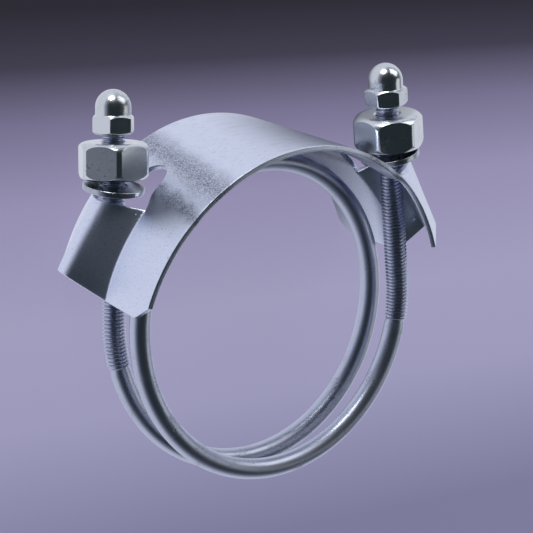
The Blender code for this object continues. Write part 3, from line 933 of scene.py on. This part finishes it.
def soft_box(name, bearing, elevation, distance, width, height, brightness):
    """A soft box facing the clamp. Its bearing in degrees is counter-clockwise from X."""
    start_clean()
    bpy.ops.object.light_add(type="AREA")
    lamp = bpy.context.object
    lamp.name = name
    lamp.data.shape = "RECTANGLE"
    lamp.data.size = width
    lamp.data.size_y = height
    lamp.data.energy = brightness * math.pi * width * height
    turn = math.radians(bearing)
    climb = math.radians(elevation)
    level = math.cos(climb)
    heading = Vector((math.cos(turn) * level, math.sin(turn) * level, math.sin(climb)))
    where = from_standing.translation + heading * distance
    lamp.matrix_world = Matrix.Translation(where) @ heading.to_track_quat("Z", "Y").to_matrix().to_4x4()
    return lamp


soft_box("box_beyond_the_crown", **BEYOND_BOX)
soft_box("box_at_the_upper_right", **UPPER_RIGHT_BOX)
soft_box("box_at_the_right", **RIGHT_BOX)
print("three soft boxes stand round the clamp")

# %% Dim the rest of the studio
STUDIO_LOW = "#a9adbd"
STUDIO_HIGH = "#283034"
DIMS_FROM = -0.05
DIMS_TO = 0.55


def studio_world():
    """A dim room that is darkest overhead, where the camera stands."""
    world = bpy.data.worlds.new("studio")
    world.use_nodes = True
    tree = world.node_tree
    heading = add_node(tree, "ShaderNodeTexCoord").outputs["Generated"]
    height = add_node(tree, "ShaderNodeSeparateXYZ", {"Vector": heading}).outputs["Z"]
    dimness = ramp(tree, height, DIMS_FROM, DIMS_TO)
    colour = mixed(tree, dimness, linear(STUDIO_LOW), linear(STUDIO_HIGH))
    tree.links.new(colour, tree.nodes["Background"].inputs["Color"])
    return world


bpy.context.scene.world = studio_world()
bpy.context.scene.view_settings.view_transform = "Standard"
print("the studio is dim and darkest overhead")

# %% [markdown]
# ## Bright zinc plating
#
# The steel is electroplated with zinc and passivated, which leaves a bright blue-white
# metal. On cold-formed nuts it is bright, and on drawn rod a little softer. On rolled sheet
# it follows the sheet's grain, so its reflections break up into fine speckles.

# %% Give metal its grain and pits
GRAIN_SIZE = 0.35 * MM
PIT_SPACING = 7.0 * MM
PIT_SIZE = 0.55 * MM
PIT_FLOOR = 0.4


def pits(tree, point, spacing, size):
    """Scattered pits: 1 inside a pit and 0 elsewhere."""
    cells = add_node(tree, "ShaderNodeTexVoronoi", {"Vector": point, "Scale": 1 / spacing})
    away = maths(tree, "MULTIPLY", cells.outputs["Distance"], spacing)
    return ramp(tree, away, size * PIT_FLOOR, size, 1.0, 0.0)


def relief_normal(tree, point, grain, detail, pit_depth):
    """The normal of a surface with fine grain and scattered pits, both in metres."""
    fine = maths(tree, "MULTIPLY", noise(tree, point, GRAIN_SIZE, detail), grain)
    holes = maths(tree, "MULTIPLY", pits(tree, point, PIT_SPACING, PIT_SIZE), pit_depth)
    relief = maths(tree, "SUBTRACT", fine, holes)
    return add_node(tree, "ShaderNodeBump", {"Height": relief, "Distance": 1.0}).outputs["Normal"]


def metal(material_parts, colour, roughness, normal):
    """Finish a material as bare metal."""
    material, tree, output = material_parts
    inputs = {"Base Color": colour, "Metallic": 1.0, "Roughness": roughness, "Normal": normal}
    shader = add_node(tree, "ShaderNodeBsdfPrincipled", inputs)
    tree.links.new(shader.outputs["BSDF"], output.inputs["Surface"])
    return material


print("the metal's grain is", round(GRAIN_SIZE / MM, 2), "mm fine")

# %% Plate smooth metal
CLOUD_SIZE = 9.0 * MM
CLOUD_EDGES = (0.45, 0.75)
CLOUD_ROUGHNESS = 0.10
FLECK_SIZE = GRAIN_SIZE * 2
FLECK_EDGES = (0.5, 0.72)


def plating(name, tone, dull_tone, roughness, grain, pit_depth):
    """Bright zinc plating with a fine grain, dull clouds and a few pits."""
    material_parts = new_material(name)
    tree = material_parts[1]
    point = object_point(tree)
    clouds = ramp(tree, noise(tree, point, CLOUD_SIZE, 4), *CLOUD_EDGES)
    flecks = ramp(tree, noise(tree, point, FLECK_SIZE, 3), *FLECK_EDGES)
    dull = maths(tree, "MULTIPLY", clouds, flecks)
    colour = mixed(tree, dull, linear(tone), linear(dull_tone))
    rough = maths(tree, "ADD", maths(tree, "MULTIPLY", clouds, CLOUD_ROUGHNESS), roughness)
    return metal(material_parts, colour, rough, relief_normal(tree, point, grain, 2.0, pit_depth))


print("a cloud of dull zinc is about", round(CLOUD_SIZE / MM), "mm wide")

# %% Plate the rod, the nuts and the washers
def wear(piece, *finishes):
    """Give a piece its finishes, in the order of its slots."""
    faces = [polygon.material_index for polygon in piece.data.polygons]
    piece.data.materials.clear()
    for finish in finishes:
        piece.data.materials.append(finish)
    for polygon, slot in zip(piece.data.polygons, faces):
        polygon.material_index = min(slot, len(finishes) - 1)


rod_plating = plating("zinc plated drawn rod", tone="#c0c6d9", dull_tone="#6b7184",
                      roughness=0.36, grain=0.02 * MM, pit_depth=0.06 * MM)
thread_plating = plating("zinc plated rolled thread", tone="#c0cbdc", dull_tone="#727e8b",
                         roughness=0.30, grain=0.01 * MM, pit_depth=0.03 * MM)
# The thread's root is painted shade: a dark copy of the plating.
painted_root_shade = plating("painted shade in the thread's root", tone="#303a46", dull_tone="#222a31",
                       roughness=0.45, grain=0.01 * MM, pit_depth=0.03 * MM)
nut_plating = plating("zinc plated cold-formed nut", tone="#d3d8dd", dull_tone="#7c858c",
                      roughness=0.20, grain=0.010 * MM, pit_depth=0.03 * MM)
washer_plating = plating("zinc plated stamped washer", tone="#b4bac4", dull_tone="#5c626c",
                         roughness=0.22, grain=0.012 * MM, pit_depth=0.03 * MM)
wear(rod, rod_plating, thread_plating, painted_root_shade)
for piece in clamp_nuts + cap_nuts:
    wear(piece, nut_plating)
for piece in washers:
    wear(piece, washer_plating)
print("rod, nuts and washers are plated")

# %% [markdown]
# The plate's sheet is satin rather than bright: its grain spreads what it mirrors. Beside
# each slot lie mottled dark bands of painted reflection, where the finish is also a little
# rougher. Fine streaks run the way the sheet was rolled.

# %% Find the painted reflection bands beside the slots
# Painted dark reflection bands, as (middle, width) across the sheet.
PAINTED_REFLECTION_BANDS = [(26.0 * MM, 9.0 * MM), (35.5 * MM, 4.5 * MM)]
PAINTED_BAND_SHARE = 0.9
PAINTED_BAND_SKEW = 0.11
PAINTED_BAND_WANDER = 5.0 * MM


def painted_reflection_band(tree, point):
    """Painted reflection bands beside the slots with wandering edges: up to their share in their
    middle.
    """
    parts = add_node(tree, "ShaderNodeSeparateXYZ", {"Vector": point})
    side = maths(tree, "SUBTRACT", maths(tree, "ABSOLUTE", parts.outputs["X"]),
                 maths(tree, "MULTIPLY", parts.outputs["Z"], PAINTED_BAND_SKEW))
    wave = maths(tree, "SUBTRACT", noise(tree, point, PAINTED_BAND_WANDER, 4), 0.5)
    across_band = maths(tree, "ADD", side, maths(tree, "MULTIPLY", wave, PAINTED_BAND_WANDER))
    painted_band = 0.0
    for middle, width in PAINTED_REFLECTION_BANDS:
        off = maths(tree, "ABSOLUTE", maths(tree, "SUBTRACT", across_band, middle))
        painted_band = maths(tree, "MAXIMUM", painted_band, ramp(tree, off, 0, width, PAINTED_BAND_SHARE, 0.0))
    return painted_band


print("there are", len(PAINTED_REFLECTION_BANDS), "painted reflection bands beside each slot")

# %% Plate the rolled sheet
SHEET_TONE = "#dce3f6"
# The dark tone of the real streaks and of the painted reflection bands.
STREAK_AND_PAINTED_BAND_TONE = "#646a7c"
SHEET_ROUGHNESS = 0.28
BAND_ROUGHNESS = 0.08
SHEET_GRAIN = 0.08 * MM
SHEET_PIT_DEPTH = 0.15 * MM
STREAK_WIDTH = 0.5 * MM
STREAK_LENGTH = 14.0 * MM
STREAK_TURN = math.radians(35)
STREAK_SHARE = 0.35
STREAK_EDGES = (0.5, 0.8)
SPECKLE_SIZE = GRAIN_SIZE * 1.4
SPECKLE_EDGES = (0.36, 0.62)
SPECKLE_LEAST = 0.35


def sheet_streaks(tree, point):
    """Fine streaks along the sheet's rolling direction."""
    stretch = (STREAK_WIDTH / STREAK_LENGTH, 1, 1)
    inputs = {"Vector": point, "Rotation": (0, 0, STREAK_TURN), "Scale": stretch}
    long_point = add_node(tree, "ShaderNodeMapping", inputs).outputs["Vector"]
    return ramp(tree, noise(tree, long_point, STREAK_WIDTH, 3), *STREAK_EDGES, 0.0, STREAK_SHARE)


def sheet_plating_with_painted_bands():
    """Satin zinc on rolled sheet, with grain, streaks, pits and painted reflection bands beside each
    slot.
    """
    material_parts = new_material("zinc plated rolled sheet with painted reflection bands")
    tree = material_parts[1]
    point = object_point(tree)
    painted_band = painted_reflection_band(tree, point)
    speckle = ramp(tree, noise(tree, point, SPECKLE_SIZE, 2), *SPECKLE_EDGES, SPECKLE_LEAST, 1.0)
    # The painted reflection bands, mottled by speckles, and the real streaks both darken the sheet's
    # colour.
    mottled_painted_band = maths(tree, "MULTIPLY", painted_band, speckle)
    dull = maths(tree, "MAXIMUM", mottled_painted_band, sheet_streaks(tree, point))
    colour = mixed(tree, dull, linear(SHEET_TONE), linear(STREAK_AND_PAINTED_BAND_TONE))
    rough = maths(tree, "ADD", maths(tree, "MULTIPLY", painted_band, BAND_ROUGHNESS), SHEET_ROUGHNESS)
    normal = relief_normal(tree, point, SHEET_GRAIN, 3, SHEET_PIT_DEPTH)
    return metal(material_parts, colour, rough, normal)


wear(plate, sheet_plating_with_painted_bands())
print("the materials are", [material.name for material in bpy.data.materials if material.users])

# %% Measure the dressed clamp and finish
visual_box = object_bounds()
dressed_size = [round(value / MM, 1) for value in visual_box[1] - visual_box[0]]
print("the dressed clamp measures", dressed_size, "mm")
